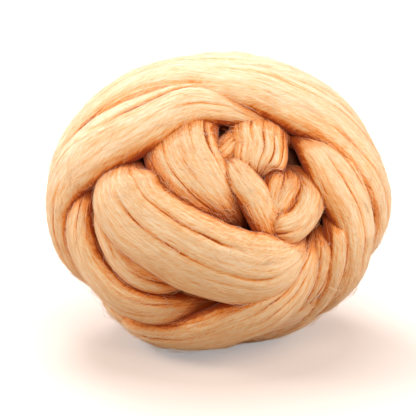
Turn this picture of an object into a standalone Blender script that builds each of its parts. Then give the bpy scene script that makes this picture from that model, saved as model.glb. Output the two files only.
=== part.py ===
"""A hand-wound ball of combed wool roving.

One long soft sliver is wound over itself into a ball. Each turn that shows lies on an egg-shaped ball as a
flat pillow with a few shallow grooves, the locks of fibre in it. A turn narrows and sinks where it dives
under its neighbours, and the whole ball stands on a small flat spot that its own weight presses.
"""

from collections import namedtuple
from math import cos, pi, radians, sin, sqrt

import bmesh
import bpy
from mathutils import Vector

# The ball, in millimetres.
MM = 0.001
HALF_WIDTH = 75.0
HALF_DEPTH = 71.0
HALF_HEIGHT = 66.0
CENTRE_HEIGHT = 62.0
HEART_INSET = 15.0
HEART_SHIFT_BACK = 5.0

# The sliver, in millimetres. Half its thickness is the gain times its width to the power, so that a narrow
# turn is rounder than a wide one. A turn's end sinks late, when most of its narrowing is done.
THICKNESS_GAIN = 0.60
THICKNESS_POWER = 0.75
EDGE_FULLNESS = 0.9
GROOVE_DEPTH = 1.7
GROOVE_SHARPNESS = 2
TUCK_DEPTH = 9.0
TUCK_DELAY = 1.5
TIP_SHARE = 0.05

# How finely the turns and the inner ball are laid out and then fused.
RINGS = 72
SIDES = 44
HEART_SUBDIVISIONS = 5
FUSE_STEP = 1.5
KEPT_SHARE = 0.115
FLOOR_SIZE = 200.0
FLOOR_DEPTH = 20.0

WOOL_COLOUR = (0.82, 0.52, 0.29, 1.0)
WOOL_ROUGHNESS = 0.85

# Every turn that shows, from the front round to the back and then underneath. The route is a few stations
# (azimuth, elevation) in degrees about the ball's centre: azimuth 0 is the front, 90 the right, 180 the
# back. Width is the turn's full width, and rise is its middle's height over the egg, both in millimetres.
# Start and end are the shares of its length over which it narrows and sinks. Locks is how many rounded
# locks lie side by side in it, and twist is how many of them its grooves wander across from end to end.
Turn = namedtuple("Turn", "name route width rise start end locks twist")
TURNS = (
    Turn("crown", ((-112, -50), (-103, -20), (-94, 20), (-84, 49), (-54, 73), (12, 73), (42, 65), (59, 49),
         (70, 34), (82, 13), (93, -5), (106, -24), (122, -50)), 34, -7.0, 0.16, 0.16, 3, 0.9),
    Turn("brow", ((50, 33), (34, 47), (5, 59), (-23, 59), (-46, 43), (-61, 30), (-74, 19), (-83, 5),
         (-87, -10), (-90, -25), (-102, -50)), 34, -7.5, 0.50, 0.22, 3, 0.6),
    Turn("cheek", ((47, 46), (50, 30), (54, 15), (60, 1), (66, -16), (78, -36), (100, -54)), 26, -8.0, 0.26,
         0.12, 3, 0.5),
    Turn("neck_outer", ((49, 8), (52, -6), (55, -18), (60, -33), (62, -50), (30, -68)), 16, -8.5, 0.14,
         0.12, 2, 0.3),
    Turn("neck_middle", ((45, 4), (46, -10), (46, -26), (45, -44), (30, -62), (-20, -72)), 13, -10.5, 0.16,
         0.12, 2, 0.3),
    Turn("neck_inner", ((43, 1), (39, -10), (29, -25), (9, -38), (-16, -50), (-52, -56), (-90, -54)), 27,
         -6.5, 0.40, 0.12, 5, 0.3),
    Turn("jowl", ((-66, 26), (-65, 8), (-64, -6), (-59, -20), (-45, -32), (-24, -35), (4, -29)), 26, -9.0,
         0.45, 0.45, 3, 0.8),
    Turn("belly", ((-49, 33), (-43, 19), (-32, 8), (-16, -1), (0, -9), (18, -12), (31, -9), (42, -2)), 35,
         -9.5, 0.22, 0.28, 4, 0.3),
    Turn("fold", ((-47, 27), (-45, 14), (-46, 3), (-43, -6), (-37, -14), (-26, -19), (-8, -24)), 19, -11.5,
         0.35, 0.35, 2, 0.2),
    Turn("heart_left", ((-30, 58), (-23, 43), (-16, 31), (-8, 23), (0, 15), (15, 0)), 33, -14.0, 0.12, 0.65,
         6, 0.1),
    Turn("heart_middle", ((0, 38), (6, 31), (11, 23), (15, 17), (18, 10), (21, 3), (23, -5)), 14, -13.0,
         0.30, 0.15, 2, 0.2),
    Turn("heart_curl", ((32, 62), (28, 51), (24, 43), (22, 36), (18, 29), (17, 20)), 25, -14.0, 0.45, 0.35,
         6, 0.1),
    Turn("heart_loop", ((22, 50), (13, 45), (7, 41), (3, 38), (-1, 35), (-6, 30)), 12, -14.0, 0.20, 0.30, 2,
         0.2),
    Turn("heart_right", ((36, 31), (32, 27), (27, 21), (24, 16), (22, 10), (20, 3)), 13, -13.5, 0.50, 0.25,
         2, 0.2),
    Turn("heart_hook", ((38, 30), (40, 24), (40, 17), (37, 10), (31, 5), (24, 3), (16, 2)), 14, -10.5, 0.45,
         0.25, 2, 0.2),
    Turn("heart_deep", ((41, 30), (37, 25), (34, 20), (29, 15), (24, 9), (20, 4)), 12, -13.0, 0.50, 0.30, 2,
         0.2),
    Turn("over_top", ((-124, -50), (-117, -14), (-108, 18), (-96, 48), (-60, 76), (70, 74), (98, 48),
         (108, 18), (117, -16), (130, -50)), 31, -6.5, 0.18, 0.16, 3, 0.8),
    Turn("over_back", ((-150, -52), (-136, -8), (-132, 34), (-150, 68), (140, 72), (122, 44), (124, 6),
         (142, -50)), 33, -7.5, 0.18, 0.16, 3, 0.8),
    Turn("back_rising", ((84, -60), (118, -36), (150, -8), (178, 18), (-156, 42), (-112, 66)), 31, -6.0,
         0.30, 0.25, 3, 0.8),
    Turn("back_falling", ((-84, -60), (-118, -34), (-148, -6), (-172, 18), (160, 40), (112, 66)), 33, -8.5,
         0.30, 0.25, 3, 0.8),
    Turn("back_belt", ((-52, -54), (-105, -44), (-150, -34), (165, -34), (115, -46), (60, -58)), 32, -6.5,
         0.22, 0.22, 3, 0.8),
    Turn("under_right", ((50, 66), (84, 40), (92, 5), (95, -32), (110, -64)), 44, -16.5, 0.10, 0.10, 4,
         0.3),
    Turn("under_rear_right", ((150, 78), (130, 42), (131, 4), (133, -32), (140, -64)), 44, -15.5, 0.10,
         0.10, 4, 0.3),
    Turn("under_rear", ((180, 78), (171, 42), (170, 4), (170, -32), (175, -64)), 44, -15.5, 0.10, 0.10, 4,
         0.3),
    Turn("under_rear_left", ((-140, 76), (-150, 42), (-149, 4), (-150, -32), (-150, -64)), 44, -15.5, 0.10,
         0.10, 4, 0.3),
    Turn("under_left", ((-80, 72), (-110, 42), (-110, 4), (-110, -32), (-115, -64)), 44, -16.5, 0.10, 0.10,
         4, 0.3),
    Turn("under_jowl", ((-84, 52), (-78, 10), (-68, -24), (-45, -46), (-10, -66)), 40, -17.5, 0.10, 0.10, 4,
         0.3),
    Turn("under_neck", ((-60, -44), (-20, -52), (25, -52), (62, -40), (84, -20)), 44, -15.5, 0.10, 0.10, 4,
         0.3),
    Turn("foot_across", ((-76, -30), (-84, -62), (-110, -88), (84, -64), (78, -34)),
         42, -10.5, 0.16, 0.16, 4, 0.5),
    Turn("foot_along", ((-8, -40), (-8, -66), (0, -90), (172, -64), (178, -36)),
         42, -12.0, 0.16, 0.16, 4, 0.5),
    Turn("under_crown", ((-80, 58), (-40, 72), (40, 72), (80, 50)), 44, -17.0, 0.10, 0.10, 4, 0.3),
)


def facing(azimuth, elevation):
    """The unit direction from the ball's centre at this azimuth and elevation in degrees."""
    a = radians(azimuth)
    e = radians(elevation)
    return Vector((sin(a) * cos(e), -cos(a) * cos(e), sin(e)))


def egg_radius(direction):
    """How far the egg reaches along this direction, in millimetres."""
    x, y, z = direction
    return 1 / sqrt((x / HALF_WIDTH) ** 2 + (y / HALF_DEPTH) ** 2 + (z / HALF_HEIGHT) ** 2)


def over_egg(direction, rise):
    """The point along this direction that stands this much over the egg, from the ball's centre."""
    return direction * (egg_radius(direction) + rise)


def smooth_route(stations, count):
    """Directions evenly spaced along a smooth curve through the stations."""
    marks = [facing(*station) for station in stations]
    knots = [0.0]
    for before, after in zip(marks, marks[1:]):
        knots.append(knots[-1] + sqrt((after - before).length))
    slopes = []
    for i in range(len(marks)):
        lower = max(i - 1, 0)
        upper = min(i + 1, len(marks) - 1)
        slopes.append((marks[upper] - marks[lower]) / (knots[upper] - knots[lower]))
    fine = []
    for i in range(len(marks) - 1):
        span = knots[i + 1] - knots[i]
        for step in range(count):
            u = step / count
            fine.append(
                marks[i] * (2 * u**3 - 3 * u**2 + 1)
                + slopes[i] * (span * (u**3 - 2 * u**2 + u))
                + marks[i + 1] * (3 * u**2 - 2 * u**3)
                + slopes[i + 1] * (span * (u**3 - u**2))
            )
    fine.append(marks[-1])
    travelled = [0.0]
    for before, after in zip(fine, fine[1:]):
        travelled.append(travelled[-1] + (after - before).length)
    even = []
    at = 0
    for step in range(count):
        goal = travelled[-1] * step / (count - 1)
        while at < len(fine) - 2 and travelled[at + 1] < goal:
            at += 1
        share = (goal - travelled[at]) / (travelled[at + 1] - travelled[at])
        even.append(fine[at].lerp(fine[at + 1], share).normalized())
    return even


def swell(turn, along):
    """The share of its full width that the turn has at this share of its length."""
    opening = sin(pi / 2 * min(along / turn.start, 1))
    closing = sin(pi / 2 * min((1 - along) / turn.end, 1))
    return max(opening * closing, TIP_SHARE)


def groove(turn, across, along):
    """How deep the grooves between the locks are at this share of the width, as a share of their depth."""
    return (1 - abs(sin(pi * (across * turn.locks + turn.twist * along)))) ** GROOVE_SHARPNESS


def add_turn(ball, turn):
    """Sweeps the turn's flat, grooved section along its route, draped over the egg."""
    route = smooth_route(turn.route, RINGS)
    rings = []
    for i, direction in enumerate(route):
        along = i / (RINGS - 1)
        share = swell(turn, along)
        width = turn.width * share
        height = THICKNESS_GAIN * width**THICKNESS_POWER
        rise = turn.rise - TUCK_DEPTH * (1 - share) ** TUCK_DELAY
        heading = route[min(i + 1, RINGS - 1)] - route[max(i - 1, 0)]
        sideways = heading.cross(direction).normalized()
        middle = over_egg(direction, rise)
        ring = []
        for side in range(SIDES):
            angle = 2 * pi * side / SIDES
            aside = sin(angle) / 2
            bulge = abs(cos(angle)) ** EDGE_FULLNESS
            if cos(angle) > 0:
                lift = bulge * (height - share * GROOVE_DEPTH * groove(turn, aside + 0.5, along))
            else:
                lift = -bulge * height
            draped = (middle + sideways * (aside * width)).normalized()
            point = over_egg(draped, rise + lift)
            point.z += CENTRE_HEIGHT
            ring.append(ball.verts.new(point * MM))
        rings.append(ring)
    for ring, following in zip(rings, rings[1:]):
        for side in range(SIDES):
            other = (side + 1) % SIDES
            ball.faces.new((ring[side], ring[other], following[other], following[side]))
    ball.faces.new(rings[0])
    ball.faces.new(rings[-1])


def add_heart(ball):
    """The packed inner ball that the turns lie on, set back so that the hollows at the front go deep."""
    made = bmesh.ops.create_icosphere(ball, subdivisions=HEART_SUBDIVISIONS, radius=1.0)
    for vert in made["verts"]:
        point = over_egg(vert.co.normalized(), -HEART_INSET)
        point.y += HEART_SHIFT_BACK
        point.z += CENTRE_HEIGHT
        vert.co = point * MM


for leftover in list(bpy.data.objects):
    bpy.data.objects.remove(leftover)

wool = bpy.data.materials.new("combed_wool")
wool.use_nodes = True
wool.node_tree.nodes["Principled BSDF"].inputs["Base Color"].default_value = WOOL_COLOUR
wool.node_tree.nodes["Principled BSDF"].inputs["Roughness"].default_value = WOOL_ROUGHNESS

# The turns and the inner ball overlap as separate shells at first.
ball = bmesh.new()
add_heart(ball)
for turn in TURNS:
    add_turn(ball, turn)
bmesh.ops.recalc_face_normals(ball, faces=ball.faces)
mesh = bpy.data.meshes.new("roving_ball")
ball.to_mesh(mesh)
ball.free()
mesh.materials.append(wool)
roving_ball = bpy.data.objects.new("roving_ball", mesh)
bpy.context.scene.collection.objects.link(roving_ball)

# Fusing them leaves one outer skin, and thinning it keeps the turns and drops the needless faces.
fuse = roving_ball.modifiers.new("fuse", "REMESH")
fuse.mode = "VOXEL"
fuse.voxel_size = FUSE_STEP * MM
thin = roving_ball.modifiers.new("thin", "DECIMATE")
thin.ratio = KEPT_SHARE

# The floor presses the flat spot that the ball stands on.
bpy.ops.mesh.primitive_cube_add(size=1, location=(0, 0, -FLOOR_DEPTH / 2 * MM))
floor = bpy.context.object
floor.name = "floor"
floor.scale = (FLOOR_SIZE * MM, FLOOR_SIZE * MM, FLOOR_DEPTH * MM)
floor.hide_render = True
floor.display_type = "WIRE"
press = roving_ball.modifiers.new("press_flat", "BOOLEAN")
press.operation = "DIFFERENCE"
press.solver = "EXACT"
press.object = floor
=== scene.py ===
from collections import namedtuple
from math import cos, pi, radians, sin, sqrt

import bmesh
import bpy
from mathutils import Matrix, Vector


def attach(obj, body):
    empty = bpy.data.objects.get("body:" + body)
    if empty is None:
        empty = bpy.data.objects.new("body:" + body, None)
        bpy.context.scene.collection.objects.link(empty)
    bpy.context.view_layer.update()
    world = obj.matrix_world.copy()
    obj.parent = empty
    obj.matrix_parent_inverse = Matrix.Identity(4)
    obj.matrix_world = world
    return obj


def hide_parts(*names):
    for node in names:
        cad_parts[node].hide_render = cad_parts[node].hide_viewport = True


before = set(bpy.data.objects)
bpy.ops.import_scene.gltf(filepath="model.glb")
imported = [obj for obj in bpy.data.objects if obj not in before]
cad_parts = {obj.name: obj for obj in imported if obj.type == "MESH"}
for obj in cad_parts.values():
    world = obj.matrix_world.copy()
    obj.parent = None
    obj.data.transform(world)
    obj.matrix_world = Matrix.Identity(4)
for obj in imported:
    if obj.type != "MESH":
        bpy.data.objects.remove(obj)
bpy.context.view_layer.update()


# ---------------------------------------------------------------------------------------------------------
# The wound turns. One soft sliver of combed wool is wound by hand into a ball: each turn lies over the ones
# before it as a flat pillow of parallel fibres, spreads into a few locks, and narrows where it dives under
# its neighbours. Nothing holds it but its own grip, and it stands on a small flat spot.

# The egg-shaped ball, in millimetres. A route on the unit ball times the arc is the length of its turn.
# A route is drawn through this many marks, and fewer are enough to measure it.
MM = 0.001
HALF_WIDTH, HALF_DEPTH, HALF_HEIGHT = 75.0, 71.0, 66.0
CENTRE_HEIGHT = 62.0
UNIT_ARC = 70.0
ROUTE_MARKS, LENGTH_MARKS = 72, 30

# A turn's half thickness is the gain times its width to the power. Its section is an oval, fuller than an
# ellipse, and its ends sink by the tuck under the turns that cross them. The least width keeps an end from
# closing to nothing.
THICKNESS_GAIN, THICKNESS_POWER = 0.60, 0.75
LEAST_WIDTH = 0.01
EDGE_FULLNESS = 0.9
TUCK_DEPTH, TUCK_POWER = 9.0, 1.5

# Hand winding leaves the course, the width and the height of a turn a little uneven: by how much, and over
# how many millimetres. The swell is a share of the width, and the others are millimetres.
SWAY, SWAY_LENGTH = 3.0, 30.0
SWELL, SWELL_LENGTH = 0.22, 24.0
HEAVE, HEAVE_LENGTH = 2.4, 34.0

# The relief of a turn. Each grain is a streak's width and length in millimetres, each groove its depth in
# millimetres, and a sharpness narrows a groove or a ridge. The locks part where their noise is above the
# fade's first value, and fully from its second. They wander by so many locks, and grooves fade at the edge.
WANDER_GRAIN, WANDER_LOCKS = (16.0, 80.0), 0.8
LOCK_GRAIN, LOCK_FADE, LOCK_STRENGTH = (8.0, 45.0), (0.40, 0.66), 1.2
LOCK_GROOVE, LOCK_SHARPNESS = 1.3, 4.0
# The strand shade is how much a strand's groove adds to the painted shade of the grooves.
STRAND_GRAIN, STRAND_GROOVE, STRAND_SHARPNESS, STRAND_SHADE = (3.2, 95.0), 0.3, 10.0, 0.5
FINE_GRAIN, FINE_GROOVE = (1.2, 40.0), 0.3
GROOVE_FADE = 0.5

# The route is a few stations (azimuth, elevation) in degrees about the ball's centre: azimuth 0 is the
# front, 90 the right, 180 the back. Width is the turn's full width, and rise is its middle's height over
# the egg. Start and end are the shares of its length over which it narrows and sinks. Locks lie side by
# side in it, and twist is how many of them its grooves wander across. Tone is its shade, from 0 to 1.
Turn = namedtuple("Turn", "name route width rise start end locks twist tone")
OUTER_TURNS = (
    Turn("crown", ((-112, -50), (-103, -20), (-94, 20), (-84, 49), (-54, 73), (12, 73), (42, 65), (59, 49),
         (70, 34), (82, 13), (93, -5), (106, -24), (122, -50)), 34, -7.0, 0.16, 0.16, 3, 0.9, 0.60),
    Turn("brow", ((50, 33), (34, 47), (5, 59), (-23, 59), (-46, 43), (-61, 30), (-74, 19), (-83, 5),
         (-87, -10), (-90, -25), (-102, -50)), 34, -7.5, 0.50, 0.22, 3, 0.6, 0.65),
    Turn("cheek", ((47, 46), (50, 30), (54, 15), (60, 1), (66, -16), (78, -36), (100, -54)), 26, -8.0, 0.26,
         0.12, 3, 0.5, 0.50),
    Turn("neck_outer", ((49, 8), (52, -6), (55, -18), (60, -33), (62, -50), (30, -68)), 16, -8.5, 0.14,
         0.12, 2, 0.3, 0.45),
    Turn("neck_middle", ((45, 4), (46, -10), (46, -26), (45, -44), (30, -62), (-20, -72)), 13, -10.5, 0.16,
         0.12, 2, 0.3, 0.30),
    Turn("neck_inner", ((43, 1), (39, -10), (29, -25), (9, -38), (-16, -50), (-52, -56), (-90, -54)), 27,
         -6.5, 0.40, 0.12, 5, 0.3, 0.45),
    Turn("jowl", ((-66, 26), (-65, 8), (-64, -6), (-59, -20), (-45, -32), (-24, -35), (4, -29)), 26, -9.0,
         0.45, 0.45, 3, 0.8, 0.50),
    Turn("belly", ((-49, 33), (-43, 19), (-32, 8), (-16, -1), (0, -9), (18, -12), (31, -9), (42, -2)), 35,
         -9.5, 0.22, 0.28, 4, 0.3, 0.60),
    Turn("fold", ((-47, 27), (-45, 14), (-46, 3), (-43, -6), (-37, -14), (-26, -19), (-8, -24)), 19, -11.5,
         0.35, 0.35, 2, 0.2, 0.45),
)
HEART_TURNS = (
    Turn("heart_left", ((-30, 58), (-23, 43), (-16, 31), (-8, 23), (0, 15), (15, 0)), 33, -14.0, 0.12, 0.65,
         6, 0.1, 0.50),
    Turn("heart_middle", ((0, 38), (6, 31), (11, 23), (15, 17), (18, 10), (21, 3), (23, -5)), 14, -13.0,
         0.30, 0.15, 2, 0.2, 0.50),
    Turn("heart_curl", ((32, 62), (28, 51), (24, 43), (22, 36), (18, 29), (17, 20)), 25, -14.0, 0.45, 0.35,
         6, 0.1, 0.55),
    Turn("heart_loop", ((22, 50), (13, 45), (7, 41), (3, 38), (-1, 35), (-6, 30)), 12, -14.0, 0.20, 0.30, 2,
         0.2, 0.40),
    Turn("heart_right", ((36, 31), (32, 27), (27, 21), (24, 16), (22, 10), (20, 3)), 13, -13.5, 0.50, 0.25,
         2, 0.2, 0.40),
    Turn("heart_hook", ((38, 30), (40, 24), (40, 17), (37, 10), (31, 5), (24, 3), (16, 2)), 14, -10.5, 0.45,
         0.25, 2, 0.2, 0.50),
    Turn("heart_deep", ((41, 30), (37, 25), (34, 20), (29, 15), (24, 9), (20, 4)), 12, -13.0, 0.50, 0.30, 2,
         0.2, 0.30),
)
BACK_TURNS = (
    Turn("over_top", ((-124, -50), (-117, -14), (-108, 18), (-96, 48), (-60, 76), (70, 74), (98, 48),
         (108, 18), (117, -16), (130, -50)), 31, -6.5, 0.18, 0.16, 3, 0.8, 0.60),
    Turn("over_back", ((-150, -52), (-136, -8), (-132, 34), (-150, 68), (140, 72), (122, 44), (124, 6),
         (142, -50)), 33, -7.5, 0.18, 0.16, 3, 0.8, 0.55),
    Turn("back_rising", ((84, -60), (118, -36), (150, -8), (178, 18), (-156, 42), (-112, 66)), 31, -6.0,
         0.30, 0.25, 3, 0.8, 0.60),
    Turn("back_falling", ((-84, -60), (-118, -34), (-148, -6), (-172, 18), (160, 40), (112, 66)), 33, -8.5,
         0.30, 0.25, 3, 0.8, 0.50),
    Turn("back_belt", ((-52, -54), (-105, -44), (-150, -34), (165, -34), (115, -46), (60, -58)), 32, -6.5,
         0.22, 0.22, 3, 0.8, 0.45),
    Turn("foot_across", ((-76, -30), (-84, -62), (-110, -88), (84, -64), (78, -34)),
         42, -10.5, 0.16, 0.16, 4, 0.5, 0.40),
    Turn("foot_along", ((-8, -40), (-8, -66), (0, -90), (172, -64), (178, -36)),
         42, -12.0, 0.16, 0.16, 4, 0.5, 0.40),
)
UNDER_TURNS = (
    Turn("under_right", ((50, 66), (84, 40), (92, 5), (95, -32), (110, -64)), 44, -16.5, 0.10, 0.10, 4, 0.3,
         0.35),
    Turn("under_rear_right", ((150, 78), (130, 42), (131, 4), (133, -32), (140, -64)), 44, -15.5, 0.10,
         0.10, 4, 0.3, 0.35),
    Turn("under_rear", ((180, 78), (171, 42), (170, 4), (170, -32), (175, -64)), 44, -15.5, 0.10, 0.10, 4,
         0.3, 0.35),
    Turn("under_rear_left", ((-140, 76), (-150, 42), (-149, 4), (-150, -32), (-150, -64)), 44, -15.5, 0.10,
         0.10, 4, 0.3, 0.35),
    Turn("under_left", ((-80, 72), (-110, 42), (-110, 4), (-110, -32), (-115, -64)), 44, -16.5, 0.10, 0.10,
         4, 0.3, 0.35),
    Turn("under_jowl", ((-84, 52), (-78, 10), (-68, -24), (-45, -46), (-10, -66)), 40, -17.5, 0.10, 0.10, 4,
         0.3, 0.35),
    Turn("under_neck", ((-60, -44), (-20, -52), (25, -52), (62, -40), (84, -20)), 44, -15.5, 0.10, 0.10, 4,
         0.3, 0.35),
    Turn("under_crown", ((-80, 58), (-40, 72), (40, 72), (80, 50)), 44, -17.0, 0.10, 0.10, 4, 0.3, 0.35),
)


def facing(azimuth, elevation):
    """The unit direction from the ball's centre at this azimuth and elevation in degrees."""
    turned, raised = radians(azimuth), radians(elevation)
    return Vector((sin(turned) * cos(raised), -cos(turned) * cos(raised), sin(raised)))


def smooth_route(stations, count):
    """Directions evenly spaced along a smooth curve through the stations."""
    marks = [facing(*station) for station in stations]
    knots = [0.0]
    for before, after in zip(marks, marks[1:]):
        knots.append(knots[-1] + sqrt((after - before).length))
    slopes = []
    for i in range(len(marks)):
        lower, upper = max(i - 1, 0), min(i + 1, len(marks) - 1)
        slopes.append((marks[upper] - marks[lower]) / (knots[upper] - knots[lower]))
    fine = []
    for i in range(len(marks) - 1):
        span = knots[i + 1] - knots[i]
        for step in range(count):
            u = step / count
            fine.append(
                marks[i] * (2 * u**3 - 3 * u**2 + 1)
                + slopes[i] * (span * (u**3 - 2 * u**2 + u))
                + marks[i + 1] * (3 * u**2 - 2 * u**3)
                + slopes[i + 1] * (span * (u**3 - u**2))
            )
    fine.append(marks[-1])
    travelled = [0.0]
    for before, after in zip(fine, fine[1:]):
        travelled.append(travelled[-1] + (after - before).length)
    even, at = [], 0
    for step in range(count):
        goal = travelled[-1] * step / (count - 1)
        while at < len(fine) - 2 and travelled[at + 1] < goal:
            at += 1
        share = (goal - travelled[at]) / (travelled[at + 1] - travelled[at])
        even.append(fine[at].lerp(fine[at + 1], share).normalized())
    return even


def route_length(turn):
    """The length of a turn's route in millimetres, measured by straight steps."""
    marks = smooth_route(turn.route, LENGTH_MARKS)
    return sum((after - before).length for before, after in zip(marks, marks[1:])) * UNIT_ARC


class Flow:
    """A number or vector in a node tree, so that a shape's rule can be written as plain arithmetic."""

    def __init__(self, socket):
        self.socket = socket

    def run(self, operation, *others, back_to_front=False):
        """What a math node makes of this value and the others. A vector is multiplied only by a number."""
        feeds = [self, *others]
        if back_to_front:
            feeds.reverse()
        vector = any(isinstance(feed, Flow) and feed.socket.type == "VECTOR" for feed in feeds)
        node = self.socket.id_data.nodes.new("ShaderNodeVectorMath" if vector else "ShaderNodeMath")
        node.operation = "SCALE" if vector and operation == "MULTIPLY" else operation
        slots = [slot for slot in node.inputs if slot.enabled]
        for slot, feed in zip(slots, feeds):
            plug(slot, feed)
        return Flow(node.outputs["Vector" if vector and operation != "LENGTH" else "Value"])

    def __add__(self, other):
        return self.run("ADD", other)

    def __radd__(self, other):
        return self.run("ADD", other)

    def __sub__(self, other):
        return self.run("SUBTRACT", other)

    def __rsub__(self, other):
        return self.run("SUBTRACT", other, back_to_front=True)

    def __mul__(self, other):
        return self.run("MULTIPLY", other)

    def __rmul__(self, other):
        return self.run("MULTIPLY", other)

    def __truediv__(self, other):
        return self.run("DIVIDE", other)

    def __rtruediv__(self, other):
        return self.run("DIVIDE", other, back_to_front=True)

    def __pow__(self, other):
        return self.run("POWER", other)

    def __abs__(self):
        return self.run("ABSOLUTE")


def plug(slot, feed):
    """Links a value to a node's input, or sets the input to a plain number, vector or colour."""
    if isinstance(feed, Flow):
        slot.id_data.links.new(feed.socket, slot)
    else:
        slot.default_value = feed


def place_node(tree, kind, feeds=None, **settings):
    """Adds a node with these settings, and feeds its inputs by name."""
    node = tree.nodes.new(kind)
    for name, value in settings.items():
        setattr(node, name, value)
    for name, feed in (feeds or {}).items():
        choices = [slot for slot in node.inputs if slot.name == name and slot.enabled]
        plug(choices[0], feed)
    return node


def output_of(node, name=None):
    """The named output that the node's settings leave in use, or its first one."""
    choices = [socket for socket in node.outputs if socket.enabled and name in (None, socket.name)]
    return Flow(choices[0])


def remapped(value, low, high, to_low, to_high):
    """The value moved from one range to another, and held at its ends."""
    feeds = {"Value": value, "From Min": low, "From Max": high, "To Min": to_low, "To Max": to_high}
    return output_of(place_node(value.socket.id_data, "ShaderNodeMapRange", feeds))


def joined(tree, x, y, z):
    """The vector of these three numbers."""
    return output_of(place_node(tree, "ShaderNodeCombineXYZ", {"X": x, "Y": y, "Z": z}))


def taken_apart(tree, vector):
    """The three numbers of this vector."""
    node = place_node(tree, "ShaderNodeSeparateXYZ", {"Vector": vector})
    return [output_of(node, axis) for axis in "XYZ"]


def noise_at(tree, x, y, z, detail=1.0, roughness=0.5):
    """Soft noise at this place, from 0 to 1."""
    feeds = {"Vector": joined(tree, x, y, z), "Scale": 1.0, "Detail": detail, "Roughness": roughness}
    return output_of(place_node(tree, "ShaderNodeTexNoise", feeds), "Fac")


def streaks(tree, across, along, grain, seed, detail=1.0, roughness=0.5):
    """Soft noise drawn out along the fibres. The grain is a streak's width and length in millimetres."""
    return noise_at(tree, across / grain[0], along / grain[1], seed, detail, roughness)


def new_tree(name, inputs):
    """A Geometry Nodes tree with these named inputs: (name, socket kind, starting value)."""
    tree = bpy.data.node_groups.new(name, "GeometryNodeTree")
    tree.interface.new_socket("Geometry", in_out="INPUT", socket_type="NodeSocketGeometry")
    tree.interface.new_socket("Geometry", in_out="OUTPUT", socket_type="NodeSocketGeometry")
    for label, kind, value in inputs:
        socket = tree.interface.new_socket(label, in_out="INPUT", socket_type=kind)
        if value is not None:
            socket.default_value = value
    given = tree.nodes.new("NodeGroupInput")
    return tree, {socket.name: Flow(socket) for socket in given.outputs if socket.name}


def end_tree(tree, given, shape):
    """Ends a tree: its shape is smooth, made real and covered in its wool."""
    smooth = place_node(tree, "GeometryNodeSetShadeSmooth", {"Geometry": shape})
    real = place_node(tree, "GeometryNodeRealizeInstances", {"Geometry": output_of(smooth)})
    covering = {"Geometry": output_of(real), "Material": given["Wool"]}
    covered = place_node(tree, "GeometryNodeSetMaterial", covering)
    leaving = tree.nodes.new("NodeGroupOutput")
    plug(leaving.inputs["Geometry"], output_of(covered))


# The inputs that a turn's wool and its fibres share: each one's name, its kind and what it starts at.
TURN_INPUTS = (
    ("Width", "NodeSocketFloat", 30.0),
    ("Rise", "NodeSocketFloat", -6.0),
    ("Start", "NodeSocketFloat", 0.1),
    ("End", "NodeSocketFloat", 0.1),
    ("Locks", "NodeSocketFloat", 3.0),
    ("Twist", "NodeSocketFloat", 0.5),
    ("Seed", "NodeSocketFloat", 0.0),
    ("Wool", "NodeSocketMaterial", None),
)


def egg_reach(direction):
    """How far the egg reaches along this direction."""
    return 1.0 / direction.run("DIVIDE", (HALF_WIDTH, HALF_DEPTH, HALF_HEIGHT)).run("LENGTH")


def route_arc(tree, given):
    """The length of the tree's route on the unit ball."""
    return output_of(place_node(tree, "GeometryNodeCurveLength", {"Curve": given["Geometry"]}))


def lay_on_ball(tree, given, along, across):
    """Where this share of a turn's length and this far across it lies, and the turn's sizes there."""
    spot = place_node(tree, "GeometryNodeSampleCurve", {"Curves": given["Geometry"], "Factor": along})
    out = output_of(spot, "Position").run("NORMALIZE")
    heading = output_of(spot, "Tangent")
    sideways = heading.run("CROSS_PRODUCT", out).run("NORMALIZE")
    along_mm = along * route_arc(tree, given) * UNIT_ARC
    opening = ((along / given["Start"]).run("MINIMUM", 1.0) * (pi / 2)).run("SINE")
    closing = (((1.0 - along) / given["End"]).run("MINIMUM", 1.0) * (pi / 2)).run("SINE")
    share = opening * closing
    # Each noise has a row of its own, or a number of its own added to the seed, so no two run together.
    sway = noise_at(tree, along_mm / SWAY_LENGTH, 0.0, given["Seed"]) - 0.5
    swell = 1.0 + SWELL * (noise_at(tree, along_mm / SWELL_LENGTH, 7.0, given["Seed"]) - 0.5)
    heave = noise_at(tree, along_mm / HEAVE_LENGTH, 13.0, given["Seed"]) - 0.5
    width = given["Width"] * share * swell
    rise = given["Rise"] - TUCK_DEPTH * (1.0 - share) ** TUCK_POWER + HEAVE * heave
    middle = out * (egg_reach(out) + rise)
    aside = across * width + SWAY * sway * share
    draped = (middle + sideways * aside).run("NORMALIZE")
    height = THICKNESS_GAIN * width.run("MAXIMUM", LEAST_WIDTH) ** THICKNESS_POWER
    return draped, rise, height, share, along_mm


def partings(lock, sharpness):
    """How deep the partings between locks are here, from 0 to 1: there is one at each whole number."""
    return (1.0 - abs((lock * pi).run("SINE"))) ** sharpness


def relief(tree, given, across, along, along_mm):
    """The depth of the grooves here in millimetres, their painted shade, and the locks' number and strength.
    """
    across_mm = across * given["Width"]
    seed = given["Seed"]
    wander = streaks(tree, across_mm, along_mm, WANDER_GRAIN, seed + 3.0) - 0.5
    lock = (across + 0.5) * given["Locks"] + given["Twist"] * along + WANDER_LOCKS * wander
    patches = streaks(tree, across_mm, along_mm, LOCK_GRAIN, seed + 5.0)
    strength = remapped(patches, *LOCK_FADE, 0.0, LOCK_STRENGTH)
    locks = partings(lock, LOCK_SHARPNESS) * strength
    waves = streaks(tree, across_mm, along_mm, STRAND_GRAIN, seed + 9.0, detail=2.0)
    strands = (1.0 - abs(waves * 2.0 - 1.0)) ** STRAND_SHARPNESS
    fine = streaks(tree, across_mm, along_mm, FINE_GRAIN, seed + 21.0, detail=2.0, roughness=0.6)
    grooves = LOCK_GROOVE * locks + STRAND_GROOVE * strands + FINE_GROOVE * (0.5 - fine)
    return grooves, locks + STRAND_SHADE * strands, lock, strength


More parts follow.
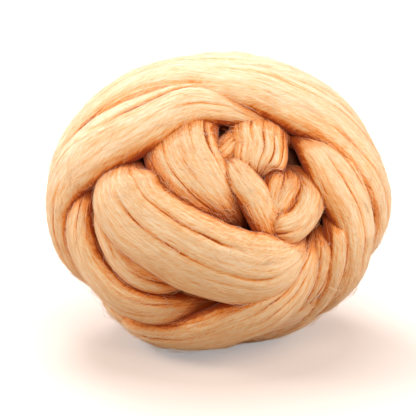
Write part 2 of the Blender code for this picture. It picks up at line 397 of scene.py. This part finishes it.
def stood_on_floor(tree, point, lowest):
    """The point in metres over the floor, and no lower than this many millimetres."""
    x, y, z = taken_apart(tree, point)
    return joined(tree, x, y, (z + CENTRE_HEIGHT).run("MAXIMUM", lowest)) * MM


def stored(tree, shape, name, value, data_type="FLOAT", domain="POINT"):
    """The shape with this value kept on it under this name."""
    feeds = {"Geometry": shape, "Name": name, "Value": value}
    settings = {"data_type": data_type, "domain": domain}
    return output_of(place_node(tree, "GeometryNodeStoreNamedAttribute", feeds, **settings))


# This share of a turn's columns lies on the side that shows, out to this angle from straight up. Points
# nearer than the seam's gap are one. The crease shade is painted shade that deepens the wool's colour: it
# adds up the painted shades of the grooves, of the edges and of what lies low, between these heights over
# the egg.
SHOWN_SHARE, SHOWN_ANGLE = 0.85, 112
SEAM_GAP = 0.02
GROOVE_SHADE, EDGE_SHADE, SUNK_SHADE = 0.4, 0.8, 0.3
EDGE_SHARPNESS = 5.0
SUNK_LOWEST, SUNK_HIGHEST = -14.0, 2.0


def turn_tree():
    """Sweeps a flat, grooved pillow of wool along a route over the egg."""
    inputs = TURN_INPUTS + (
        ("Tone", "NodeSocketFloat", 0.5),
        ("Rings", "NodeSocketInt", 180),
        ("Columns", "NodeSocketInt", 72),
    )
    tree, given = new_tree("wind_turn", inputs)
    counts = {"Vertices X": given["Columns"], "Vertices Y": given["Rings"]}
    sheet = place_node(tree, "GeometryNodeMeshGrid", {"Size X": 1.0, "Size Y": 1.0, **counts})
    x, y, _ = taken_apart(tree, output_of(place_node(tree, "GeometryNodeInputPosition")))
    around, along = x + 0.5, y + 0.5
    # The last few columns close the underside.
    shown = remapped(around, 0.0, SHOWN_SHARE, radians(-SHOWN_ANGLE), radians(SHOWN_ANGLE))
    hidden = remapped(around, SHOWN_SHARE, 1.0, 0.0, radians(360 - 2 * SHOWN_ANGLE))
    angle = shown + hidden
    across = angle.run("SINE") * 0.5
    upright = angle.run("COSINE")
    draped, rise, height, share, along_mm = lay_on_ball(tree, given, along, across)
    grooves, shaded, lock, strength = relief(tree, given, across, along, along_mm)
    open_side = upright.run("MAXIMUM", 0.0) ** GROOVE_FADE
    lift = upright.run("SIGN") * abs(upright) ** EDGE_FULLNESS * height - grooves * share * open_side
    standing = stood_on_floor(tree, draped * (egg_reach(draped) + rise + lift), 0.0)
    # The maps are stored while the sheet is flat, then the sheet is laid in place and its seam closed.
    fibre_map = joined(tree, across * given["Width"], along_mm, 0.0)
    mapped = stored(tree, output_of(sheet, "Mesh"), "fibre_map", fibre_map, "FLOAT2", "CORNER")
    # Painted shade: the grooves, the turn's edges and the turns that lie low are darkened in the colour.
    edge = (abs(across) * 2.0) ** EDGE_SHARPNESS
    sunk = remapped(lift + rise, SUNK_LOWEST, SUNK_HIGHEST, 1.0, 0.0)
    crease = (GROOVE_SHADE * shaded * share + EDGE_SHADE * edge + SUNK_SHADE * sunk).run("MINIMUM", 1.0)
    maps = {"crease": crease, "tone": given["Tone"], "lock": lock, "lock_depth": strength * share}
    for name, value in maps.items():
        mapped = stored(tree, mapped, name, value)
    laid = place_node(tree, "GeometryNodeSetPosition", {"Geometry": mapped, "Position": standing})
    seam = {"Geometry": output_of(laid), "Distance": SEAM_GAP * MM}
    closed = place_node(tree, "GeometryNodeMergeByDistance", seam)
    end_tree(tree, given, output_of(closed))
    return tree


def route_curve(turn):
    """The turn's route as a curve on the unit ball."""
    curve = bpy.data.curves.new(turn.name + "_route", "CURVE")
    curve.dimensions = "3D"
    line = curve.splines.new("POLY")
    marks = smooth_route(turn.route, ROUTE_MARKS)
    line.points.add(len(marks) - 1)
    for spot, mark in zip(line.points, marks):
        spot.co = (*mark, 1.0)
    guide = bpy.data.objects.new(turn.name + "_route", curve)
    bpy.context.scene.collection.objects.link(guide)
    return guide


def grown(carrier, tree, values):
    """The plain mesh that a tree with these inputs makes on this curve or piece."""
    grower = carrier.modifiers.new("grow", "NODES")
    grower.node_group = tree
    for item in tree.interface.items_tree:
        if item.in_out == "INPUT" and item.name in values:
            grower[item.identifier] = values[item.name]
    graph = bpy.context.evaluated_depsgraph_get()
    mesh = bpy.data.meshes.new_from_object(carrier.evaluated_get(graph), depsgraph=graph)
    carrier.modifiers.remove(grower)
    return mesh


SEED_STEP = 11.3


def turn_values(turn, number, material):
    """A turn's own values for the inputs that its wool and its fibres share."""
    return {
        "Width": float(turn.width),
        "Rise": float(turn.rise),
        "Start": float(turn.start),
        "End": float(turn.end),
        "Locks": float(turn.locks),
        "Twist": float(turn.twist),
        "Seed": SEED_STEP * number,
        "Wool": material,
    }


def as_piece(name, meshes):
    """One object that holds all these meshes."""
    gathered = bmesh.new()
    for mesh in meshes:
        gathered.from_mesh(mesh)
    whole = bpy.data.meshes.new(name)
    gathered.to_mesh(whole)
    gathered.free()
    for material in meshes[0].materials:
        whole.materials.append(material)
    piece = bpy.data.objects.new(name, whole)
    bpy.context.scene.collection.objects.link(piece)
    return piece


def new_material(name, finish):
    """A material whose shader has these plain values, with its tree and its shader."""
    material = bpy.data.materials.new(name)
    material.use_nodes = True
    shader = material.node_tree.nodes["Principled BSDF"]
    for label, value in finish.items():
        shader.inputs[label].default_value = value
    return material, material.node_tree, shader


def colour_ramp(tree, value, stops):
    """The colour for this value, from a few colours and the values at which they stand."""
    ramp = place_node(tree, "ShaderNodeValToRGB", {"Fac": value})
    elements = ramp.color_ramp.elements
    for element, (spot, colour) in zip(elements, (stops[0], stops[-1])):
        element.position = spot
        element.color = (*colour, 1.0)
    for spot, colour in stops[1:-1]:
        elements.new(spot).color = (*colour, 1.0)
    return output_of(ramp)


def kept_value(tree, name):
    """The value that the mesh keeps under this name."""
    return output_of(place_node(tree, "ShaderNodeAttribute", attribute_name=name), "Fac")


# The wool's colours go from the painted shade at the bottom of the hollows to the combed crests. The sheen
# is the soft shine of combed fibres seen along the surface. Each grain is a streak's width and length in
# millimetres, and fuzz lies at a slant. Each mix is how far its streaks, its tone or its painted shade move
# the wool along those colours.
WOOL_COLOURS = (
    (0.0, (0.44, 0.09, 0.015)),
    (0.25, (0.82, 0.29, 0.06)),
    (0.45, (0.87, 0.45, 0.17)),
    (0.68, (0.91, 0.65, 0.36)),
    (0.90, (0.95, 0.80, 0.58)),
)
WOOL_FINISH = {
    "Roughness": 0.75,
    "Specular IOR Level": 0.12,
    "Sheen Weight": 0.5,
    "Sheen Roughness": 0.35,
    "Sheen Tint": (1.0, 0.96, 0.90, 1.0),
}
BROAD_GRAIN, NARROW_GRAIN, HAIR_GRAIN, FUZZ_GRAIN = (3.5, 60.0), (0.9, 24.0), (0.42, 9.0), (0.6, 3.5)
FUZZ_SLANT = 0.3
WOOL_LIGHTNESS, BROAD_MIX, NARROW_MIX, HAIR_MIX, FUZZ_MIX = 0.76, 0.35, 0.7, 0.6, 0.55
TONE_MIX, CREASE_SHADE_MIX, PARTING_SHADE_MIX, HOLLOW_SHADE_MIX = 0.2, 0.32, 0.8, 1.3
PARTING_SHARPNESS = 6.0
BUMP_STRENGTH, BUMP_HEIGHT = 0.4, 0.3
NARROW_BUMP, HAIR_BUMP, FUZZ_BUMP = 0.4, 0.3, 0.3
STREAK_STEP, FUZZ_STEP = 40.0, 90.0


def combed_wool():
    """Peach combed wool: silky streaks along the fibres, deeper orange in the grooves and hollows."""
    wool, tree, shader = new_material("combed_wool", WOOL_FINISH)
    chart = place_node(tree, "ShaderNodeUVMap", uv_map="fibre_map")
    across, along, _ = taken_apart(tree, output_of(chart))
    tone = kept_value(tree, "tone")
    # Painted shade: the partings between locks are drawn as dark lines in the colour.
    parting_shade = partings(kept_value(tree, "lock"), PARTING_SHARPNESS) * kept_value(tree, "lock_depth")
    # Turns of different tone differ in their streaks too.
    seed, fuzz_seed = tone * STREAK_STEP, tone * FUZZ_STEP
    broad = streaks(tree, across, along, BROAD_GRAIN, seed, detail=2.0)
    narrow = streaks(tree, across, along, NARROW_GRAIN, seed, detail=2.0, roughness=0.6)
    hair = streaks(tree, across, along, HAIR_GRAIN, seed, roughness=0.6)
    fuzz = streaks(tree, across + along * FUZZ_SLANT, along, FUZZ_GRAIN, fuzz_seed, roughness=0.6)
    light = WOOL_LIGHTNESS + BROAD_MIX * (broad - 0.5) + NARROW_MIX * (narrow - 0.5)
    light = light + HAIR_MIX * (hair - 0.5) + FUZZ_MIX * (fuzz - 0.5) + TONE_MIX * (tone - 0.5)
    # Painted shade: the hollows are darkened and turned deeper orange in the colour itself, as light that
    # reaches a hollow has passed wool again and again, and each pass takes out blue and green.
    shut_in = HOLLOW_SHADE_MIX * kept_value(tree, "hollow")
    light = light - CREASE_SHADE_MIX * kept_value(tree, "crease") - PARTING_SHADE_MIX * parting_shade - shut_in
    plug(shader.inputs["Base Color"], colour_ramp(tree, light, WOOL_COLOURS))
    height = NARROW_BUMP * narrow + HAIR_BUMP * hair + FUZZ_BUMP * fuzz
    relief_of_hairs = {"Strength": BUMP_STRENGTH, "Distance": BUMP_HEIGHT * MM, "Height": height}
    plug(shader.inputs["Normal"], output_of(place_node(tree, "ShaderNodeBump", relief_of_hairs)))
    return wool


# Rays go out from each point in cones round its outward direction: the lean of each cone in degrees, and
# its number of rays. A touching surface shuts off a ray wholly, and one at the end of its reach in part.
# That direction is pulled away from the ball's middle. The hint is any direction to begin a cone from. A
# ray starts a gap off the surface and ends at its reach, both in metres.
RAY_CONES = ((20.0, 3), (50.0, 5), (74.0, 6))
FAR_SHUT = 0.4
OUTWARD_PULL = 0.8
SIDE_HINT = (0.31, 0.52, 0.80)
HOLLOW_POWER = 0.75


# The hollow map drives painted shade: the wool's and the fibres' colours darken where it is high.
def hollow_tree():
    """Stores how far each point is shut in by wool: the share of rays from it that soon meet some."""
    inputs = (
        ("All Turns", "NodeSocketObject", None),
        ("Reach", "NodeSocketFloat", 0.028),
        ("Gap", "NodeSocketFloat", 0.0006),
        ("Own Normal", "NodeSocketFloat", 1.0),
        ("Wool", "NodeSocketMaterial", None),
    )
    tree, given = new_tree("find_hollows", inputs)
    turns = {"Object": given["All Turns"]}
    around = place_node(tree, "GeometryNodeObjectInfo", turns, transform_space="RELATIVE")
    wool_around = output_of(around, "Geometry")
    place = output_of(place_node(tree, "GeometryNodeInputPosition"))
    out = (place - (0.0, 0.0, CENTRE_HEIGHT * MM)).run("NORMALIZE")
    normal = output_of(place_node(tree, "GeometryNodeInputNormal"), "Normal")
    facing_out = (normal * given["Own Normal"] + out * OUTWARD_PULL).run("NORMALIZE")
    east = facing_out.run("CROSS_PRODUCT", SIDE_HINT).run("NORMALIZE")
    north = facing_out.run("CROSS_PRODUCT", east)
    start = place + facing_out * given["Gap"]
    blocked, whole = [], 0.0
    for lean, spokes in RAY_CONES:
        upward, outward = cos(radians(lean)), sin(radians(lean))
        weight = outward / spokes
        for spoke in range(spokes):
            whole += weight
            turned = 2 * pi * (spoke + lean / 90) / spokes
            ray = facing_out * upward + east * (outward * cos(turned)) + north * (outward * sin(turned))
            feeds = {
                "Target Geometry": wool_around,
                "Source Position": start,
                "Ray Direction": ray,
                "Ray Length": given["Reach"],
            }
            met = place_node(tree, "GeometryNodeRaycast", feeds)
            near = 1.0 - output_of(met, "Hit Distance") / given["Reach"]
            blocked.append(output_of(met, "Is Hit") * (FAR_SHUT + (1.0 - FAR_SHUT) * near) * weight)
    shut_in = sum(blocked[1:], blocked[0]) / whole
    end_tree(tree, given, stored(tree, given["Geometry"], "hollow", shut_in**HOLLOW_POWER))
    return tree


def with_hollows(piece, wool_around, own_normal, material):
    """Adds the hollow map to a piece's mesh. Own normal is 1 for a surface, and 0 for fibres on one."""
    bare = piece.data
    values = {"All Turns": wool_around, "Own Normal": own_normal, "Wool": material}
    piece.data = grown(piece, find_hollows, values)
    bpy.data.meshes.remove(bare)
    piece.data.name = piece.name


# Each piece: its name, its turns, the step between rings in millimetres, and the columns round a turn.
TURN_PIECES = (
    ("roving_outer_turns", OUTER_TURNS, 1.35, 84),
    ("roving_heart_turns", HEART_TURNS, 1.0, 72),
    ("roving_back_turns", BACK_TURNS, 1.6, 72),
    ("roving_under_turns", UNDER_TURNS, 3.0, 44),
)
FEWEST_RINGS = 24

wool = combed_wool()
wind = turn_tree()
find_hollows = hollow_tree()
guides = {}
pieces = []
for piece_name, turns, ring_step, columns in TURN_PIECES:
    meshes = []
    for turn in turns:
        guide, number = route_curve(turn), len(guides) + 1
        guides[turn.name] = (guide, number)
        values = turn_values(turn, number, wool)
        values["Tone"] = turn.tone
        values["Rings"] = max(int(route_length(turn) / ring_step), FEWEST_RINGS)
        values["Columns"] = columns
        meshes.append(grown(guide, wind, values))
    pieces.append(as_piece(piece_name, meshes))

every_turn = as_piece("every_turn", [piece.data for piece in pieces])
for piece in pieces:
    with_hollows(piece, every_turn, 1.0, wool)
    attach(piece, "root")
    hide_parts("roving_ball")


# ---------------------------------------------------------------------------------------------------------
# The surface fibres. The fine loose ends of each turn's outermost wool fibres: short and pale, they lie at
# a slant a hair's breadth off the turn that holds them, and give it its soft nap.

# Each pair is the lowest and the highest of a value that every fibre draws for itself: its length and its
# girth as shares of the sizes given, its place along and across the turn, and its lift in millimetres.
LENGTH_SHARES = (0.45, 1.25)
GIRTH_SHARES = (0.6, 1.2)
ALONG_SHARES = (0.01, 0.99)
ACROSS_SHARES = (-0.48, 0.48)
LIFT_MM = (0.02, 0.2)
# The higher these powers, the fewer fibres slant or arch by much.
SLANT_POWER, ARCH_POWER = 3.0, 2.0
CRIMP_LENGTH, CRIMP_ROW_STEP = 7.0, 3.7
TIP_GIRTH = 0.25
TUBE_SIDES = 3
# No fibre runs past these shares of its turn, over an edge lower than this, or nearer the floor in
# millimetres.
FIRST_ALONG, LAST_ALONG = 0.004, 0.996
LEAST_UPRIGHT = 0.06
FLOOR_CLEARANCE = 0.1


def fibre_tree():
    """Lays thin fibres over a turn. Each arches a little off it, bows aside and crosses it at a slant."""
    inputs = TURN_INPUTS + (
        ("Count", "NodeSocketInt", 400),
        ("Points", "NodeSocketInt", 7),
        ("Length", "NodeSocketFloat", 30.0),
        ("Slant", "NodeSocketFloat", 0.1),
        ("Arch", "NodeSocketFloat", 0.2),
        ("Bow", "NodeSocketFloat", 0.5),
        ("Crimp", "NodeSocketFloat", 1.0),
        ("Radius", "NodeSocketFloat", 0.08),
    )
    tree, given = new_tree("lay_fibres", inputs)
    straight = output_of(place_node(tree, "GeometryNodeCurvePrimitiveLine"), "Curve")
    stepped = place_node(tree, "GeometryNodeResampleCurve", {"Curve": straight, "Count": given["Points"]})
    each = {"Geometry": output_of(stepped), "Amount": given["Count"]}
    copies = place_node(tree, "GeometryNodeDuplicateElements", each, domain="SPLINE")
    number = output_of(copies, "Duplicate Index")

    def chance(low, high, salt):
        """A random value for each fibre."""
        draw = {"Min": low, "Max": high, "ID": number, "Seed": given["Seed"] + float(salt)}
        return output_of(place_node(tree, "FunctionNodeRandomValue", draw), "Value")

    reach = output_of(place_node(tree, "GeometryNodeSplineParameter"), "Factor")
    length = given["Length"] * chance(*LENGTH_SHARES, 1)
    slant = given["Slant"] * chance(-1.0, 1.0, 2) ** SLANT_POWER
    run = (reach - 0.5) * length
    middle = 4.0 * reach * (1.0 - reach)
    ahead = run * slant.run("COSINE") / (route_arc(tree, given) * UNIT_ARC)
    along = (chance(*ALONG_SHARES, 3) + ahead).run("MAXIMUM", FIRST_ALONG).run("MINIMUM", LAST_ALONG)
    crimp = noise_at(tree, run / CRIMP_LENGTH, number * CRIMP_ROW_STEP, given["Seed"] + 31.0) - 0.5
    bow = given["Bow"] * chance(-1.0, 1.0, 4) * middle
    shift = run * slant.run("SINE") + bow + given["Crimp"] * crimp
    across = chance(*ACROSS_SHARES, 5) + shift / given["Width"]
    draped, rise, height, share, along_mm = lay_on_ball(tree, given, along, across)
    grooves = relief(tree, given, across, along, along_mm)[0]
    upright = (1.0 - (across * 2.0) * (across * 2.0)).run("MAXIMUM", LEAST_UPRIGHT) ** 0.5
    free = chance(0.0, 1.0, 6) ** ARCH_POWER * given["Arch"] * middle + chance(*LIFT_MM, 7)
    lift = upright**EDGE_FULLNESS * height - grooves * share * upright**GROOVE_FADE + free
    standing = stood_on_floor(tree, draped * (egg_reach(draped) + rise + lift), FLOOR_CLEARANCE)
    shade = stored(tree, output_of(copies), "tone", chance(0.0, 1.0, 8))
    laid = place_node(tree, "GeometryNodeSetPosition", {"Geometry": shade, "Position": standing})
    girth = given["Radius"] * chance(*GIRTH_SHARES, 9) * (TIP_GIRTH + (1.0 - TIP_GIRTH) * middle)
    tapered = place_node(tree, "GeometryNodeSetCurveRadius", {"Curve": output_of(laid), "Radius": girth})
    ring = place_node(tree, "GeometryNodeCurvePrimitiveCircle", {"Resolution": TUBE_SIDES, "Radius": MM})
    skin = {
        "Curve": output_of(tapered),
        "Profile Curve": output_of(ring, "Curve"),
        "Fill Caps": True,
        "Scale": output_of(place_node(tree, "GeometryNodeInputRadius")),
    }
    tubes = place_node(tree, "GeometryNodeCurveToMesh", skin)
    end_tree(tree, given, output_of(tubes))
    return tree


# A fibre that lies deep between the turns takes this painted shade, as the wool there does.
SHADED_FIBRE_COLOUR = (0.58, 0.15, 0.03)
FIBRE_FINISH = {"Roughness": 0.8, "Specular IOR Level": 0.1}
FIBRE_LIGHTNESS, FIBRE_TONE_MIX, FIBRE_HOLLOW_SHADE_MIX = 0.55, 0.45, 1.1


def loose_fibre(name, low, high):
    """Single fibres of the same wool, each a shade from one colour to the other."""
    fibre, tree, shader = new_material(name, FIBRE_FINISH)
    shade = FIBRE_LIGHTNESS + FIBRE_TONE_MIX * kept_value(tree, "tone")
    # Painted shade: a fibre in a hollow is darkened toward the shaded colour.
    shade = shade - FIBRE_HOLLOW_SHADE_MIX * kept_value(tree, "hollow")
    stops = ((0.0, SHADED_FIBRE_COLOUR), (0.5, low), (1.0, high))
    plug(shader.inputs["Base Color"], colour_ramp(tree, shade, stops))
    return fibre


def lay_over(name, turns, sizes, fibre):
    """One piece with the fibres of all these turns. Their count is for each 1000 square millimetres."""
    meshes = []
    for turn in turns:
        guide, number = guides[turn.name]
        values = turn_values(turn, number, fibre)
        values.update(sizes)
        values["Count"] = int(sizes["Count"] * route_length(turn) * turn.width / 1000.0)
        meshes.append(grown(guide, lay, values))
    piece = as_piece(name, meshes)
    with_hollows(piece, every_turn, 0.0, fibre)
    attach(piece, "root")
    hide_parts("roving_ball")


lay = fibre_tree()
surface_fibre = loose_fibre("surface_fibre", (0.96, 0.66, 0.36), (1.0, 0.86, 0.62))
close_lying = {
    "Count": 150,
    "Points": 5,
    "Length": 9.0,
    "Slant": 1.3,
    "Arch": 0.8,
    "Bow": 1.0,
    "Crimp": 2.0,
    "Radius": 0.05,
}
lay_over("surface_fibres_outer", OUTER_TURNS, close_lying, surface_fibre)
lay_over("surface_fibres_heart", HEART_TURNS, {**close_lying, "Length": 6.0, "Count": 200}, surface_fibre)
lay_over("surface_fibres_back", BACK_TURNS, {**close_lying, "Count": 60}, surface_fibre)


# ---------------------------------------------------------------------------------------------------------
# The stray fibres. Short, springy wool fibres that the combing missed: they cross the turns at a slant,
# bridge the creases and stand off the ball's edge as a faint fuzz.

stray_fibre = loose_fibre("stray_fibre", (0.90, 0.62, 0.37), (0.98, 0.87, 0.71))
springy = {
    "Count": 40,
    "Points": 9,
    "Length": 15.0,
    "Slant": 1.5,
    "Arch": 2.6,
    "Bow": 3.0,
    "Crimp": 3.5,
    "Radius": 0.065,
}
heart_springy = {**springy, "Count": 80, "Length": 10.0, "Arch": 2.2}
lay_over("stray_fibres_outer", OUTER_TURNS, springy, stray_fibre)
lay_over("stray_fibres_heart", HEART_TURNS, heart_springy, stray_fibre)
lay_over("stray_fibres_back", BACK_TURNS, {**springy, "Count": 14}, stray_fibre)

# The guides have done their work.
for guide, _ in guides.values():
    bpy.data.objects.remove(guide)
bpy.data.objects.remove(every_turn)


# ---------------------------------------------------------------------------------------------------------
# The packed middle. The first metre of the sliver, wound tight before the turns that show. It is seen only
# as the dark bottom of the hollows between them, set back so that those at the front go deep.

MIDDLE_INSET = 15.0
MIDDLE_SHIFT_BACK = 5.0
SHADOWED_GRAIN = 900.0
# Its colours are painted shade: the same wool, darkened to near black as it lies in the hollows' shadow.
SHADOWED_COLOURS = ((0.0, (0.06, 0.012, 0.004)), (1.0, (0.24, 0.07, 0.02)))

packed = bmesh.new()
bmesh.ops.create_icosphere(packed, subdivisions=5, radius=1.0)
for vert in packed.verts:
    out = vert.co.normalized()
    reach = 1 / sqrt((out.x / HALF_WIDTH) ** 2 + (out.y / HALF_DEPTH) ** 2 + (out.z / HALF_HEIGHT) ** 2)
    point = out * (reach - MIDDLE_INSET)
    vert.co = Vector((point.x, point.y + MIDDLE_SHIFT_BACK, point.z + CENTRE_HEIGHT)) * MM
packed_mesh = bpy.data.meshes.new("roving_middle")
packed.to_mesh(packed_mesh)
packed.free()
packed_mesh.shade_smooth()

shadowed, shadowed_tree, dull = new_material("shadowed_wool", {"Roughness": 0.95})
place = output_of(place_node(shadowed_tree, "ShaderNodeTexCoord"), "Object")
fuzz_feeds = {"Vector": place, "Scale": SHADOWED_GRAIN, "Detail": 3.0}
fuzz = output_of(place_node(shadowed_tree, "ShaderNodeTexNoise", fuzz_feeds), "Fac")
plug(dull.inputs["Base Color"], colour_ramp(shadowed_tree, fuzz, SHADOWED_COLOURS))
packed_mesh.materials.append(shadowed)
middle_piece = bpy.data.objects.new("roving_middle", packed_mesh)
bpy.context.scene.collection.objects.link(middle_piece)
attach(middle_piece, "root")
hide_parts("roving_ball")


# ---------------------------------------------------------------------------------------------------------
# The floor, the light and the camera. A white table in a bright room. A soft box high up behind the ball
# whitens its upper edge, one on each side lights its rims, and one in front fills in the rest.

# The table and the room are white to the camera alone. What they throw back at the ball is dim and warm,
# as light that has passed wool is. The table's glow is weaker near the ball, a painted shadow round its
# foot, and grows from the start to the end, in metres from the middle of the ball's foot.
TABLE_WIDTH = 8.0
TABLE_FINISH = {
    "Base Color": (0.50, 0.40, 0.31, 1.0),
    "Roughness": 0.7,
    "Specular IOR Level": 0.2,
    "Emission Color": (1.0, 1.0, 1.0, 1.0),
}
SHADOWED_GLOW, ADDED_GLOW = 0.34, 0.6
GLOW_START, GLOW_END = 0.06, 0.14
ROOM_COLOURS = ((0.0, (1.0, 0.60, 0.31)), (1.0, (1.0, 1.0, 1.0)))
ROOM_FILL, ROOM_SEEN = 0.38, 1.05


def seen_by_camera(tree):
    """1 where the camera sees the surface itself, and 0 for the light that it gives to others."""
    return output_of(place_node(tree, "ShaderNodeLightPath"), "Is Camera Ray")


corner = TABLE_WIDTH / 2
corners = [(-corner, -corner, 0.0), (corner, -corner, 0.0), (corner, corner, 0.0), (-corner, corner, 0.0)]
table_mesh = bpy.data.meshes.new("white_table")
table_mesh.from_pydata(corners, [], [(0, 1, 2, 3)])
white, white_tree, paint = new_material("white_table", TABLE_FINISH)
spot = output_of(place_node(white_tree, "ShaderNodeTexCoord"), "Object")
# Painted shadow: the table glows less close to the ball, and at full strength from the end on.
past_painted_shadow = remapped(spot.run("LENGTH"), GLOW_START, GLOW_END, 0.0, 1.0)
plug(paint.inputs["Emission Strength"], seen_by_camera(white_tree) * (SHADOWED_GLOW + ADDED_GLOW * past_painted_shadow))
table_mesh.materials.append(white)
table = bpy.data.objects.new("white_table", table_mesh)
bpy.context.scene.collection.objects.link(table)

room = bpy.data.worlds.new("bright_room")
room.use_nodes = True
air = room.node_tree.nodes["Background"]
room_seen = seen_by_camera(room.node_tree)
plug(air.inputs["Strength"], remapped(room_seen, 0.0, 1.0, ROOM_FILL, ROOM_SEEN))
plug(air.inputs["Color"], colour_ramp(room.node_tree, room_seen, ROOM_COLOURS))
bpy.context.scene.world = room

# The boxes' places are in metres from the middle of the ball's foot, and their powers in watts.
BOX_WIDTH = 0.30
WHITE, COOL_WHITE, COOLEST_WHITE = (1.0, 1.0, 1.0), (0.90, 0.93, 1.0), (0.80, 0.86, 1.0)


def soft_light(name, place, power, tint):
    """A square soft box at this place, turned to the ball."""
    lamp = bpy.data.lights.new(name, "AREA")
    lamp.size = BOX_WIDTH
    lamp.energy = power
    lamp.color = tint
    box = bpy.data.objects.new(name, lamp)
    box.location = place
    aim = Vector((0.0, 0.0, CENTRE_HEIGHT * MM)) - Vector(place)
    box.rotation_euler = aim.to_track_quat("-Z", "Y").to_euler()
    bpy.context.scene.collection.objects.link(box)


soft_light("back_box", (-0.18, 0.40, 0.56), 4.6, COOLEST_WHITE)
soft_light("left_box", (-0.60, -0.05, 0.42), 3.0, COOL_WHITE)
soft_light("right_box", (0.62, -0.15, 0.38), 2.9, COOL_WHITE)
soft_light("front_box", (0.12, -0.52, 0.58), 2.0, WHITE)

# The camera's distance is in metres and its sensor in millimetres. The pixels are the photograph's: its
# width, the ball's width in it, and how far its middle lies to the left of the ball's and below it.
CAMERA_ELEVATION = 15.0
CAMERA_DISTANCE = 0.700
SENSOR_WIDTH = 36.0
PHOTO_WIDTH_PX = 416
BALL_WIDTH_PX = 338
LEFT_OF_BALL_PX = 9.5
BELOW_BALL_PX = 5.0

lens = bpy.data.cameras.new("camera")
lens.sensor_width = SENSOR_WIDTH
pixel_mm = 2 * HALF_WIDTH / BALL_WIDTH_PX
lens.lens = SENSOR_WIDTH * CAMERA_DISTANCE / MM / (PHOTO_WIDTH_PX * pixel_mm)
camera = bpy.data.objects.new("camera", lens)
tilt = radians(CAMERA_ELEVATION)
back = Vector((0.0, -cos(tilt), sin(tilt)))
up = Vector((0.0, sin(tilt), cos(tilt)))
target = Vector((-LEFT_OF_BALL_PX * pixel_mm, 0.0, CENTRE_HEIGHT)) - up * BELOW_BALL_PX * pixel_mm
camera.location = target * MM + back * CAMERA_DISTANCE
camera.rotation_euler = (-back).to_track_quat("-Z", "Y").to_euler()
bpy.context.scene.collection.objects.link(camera)
bpy.context.scene.camera = camera
bpy.context.scene.view_settings.view_transform = "Standard"
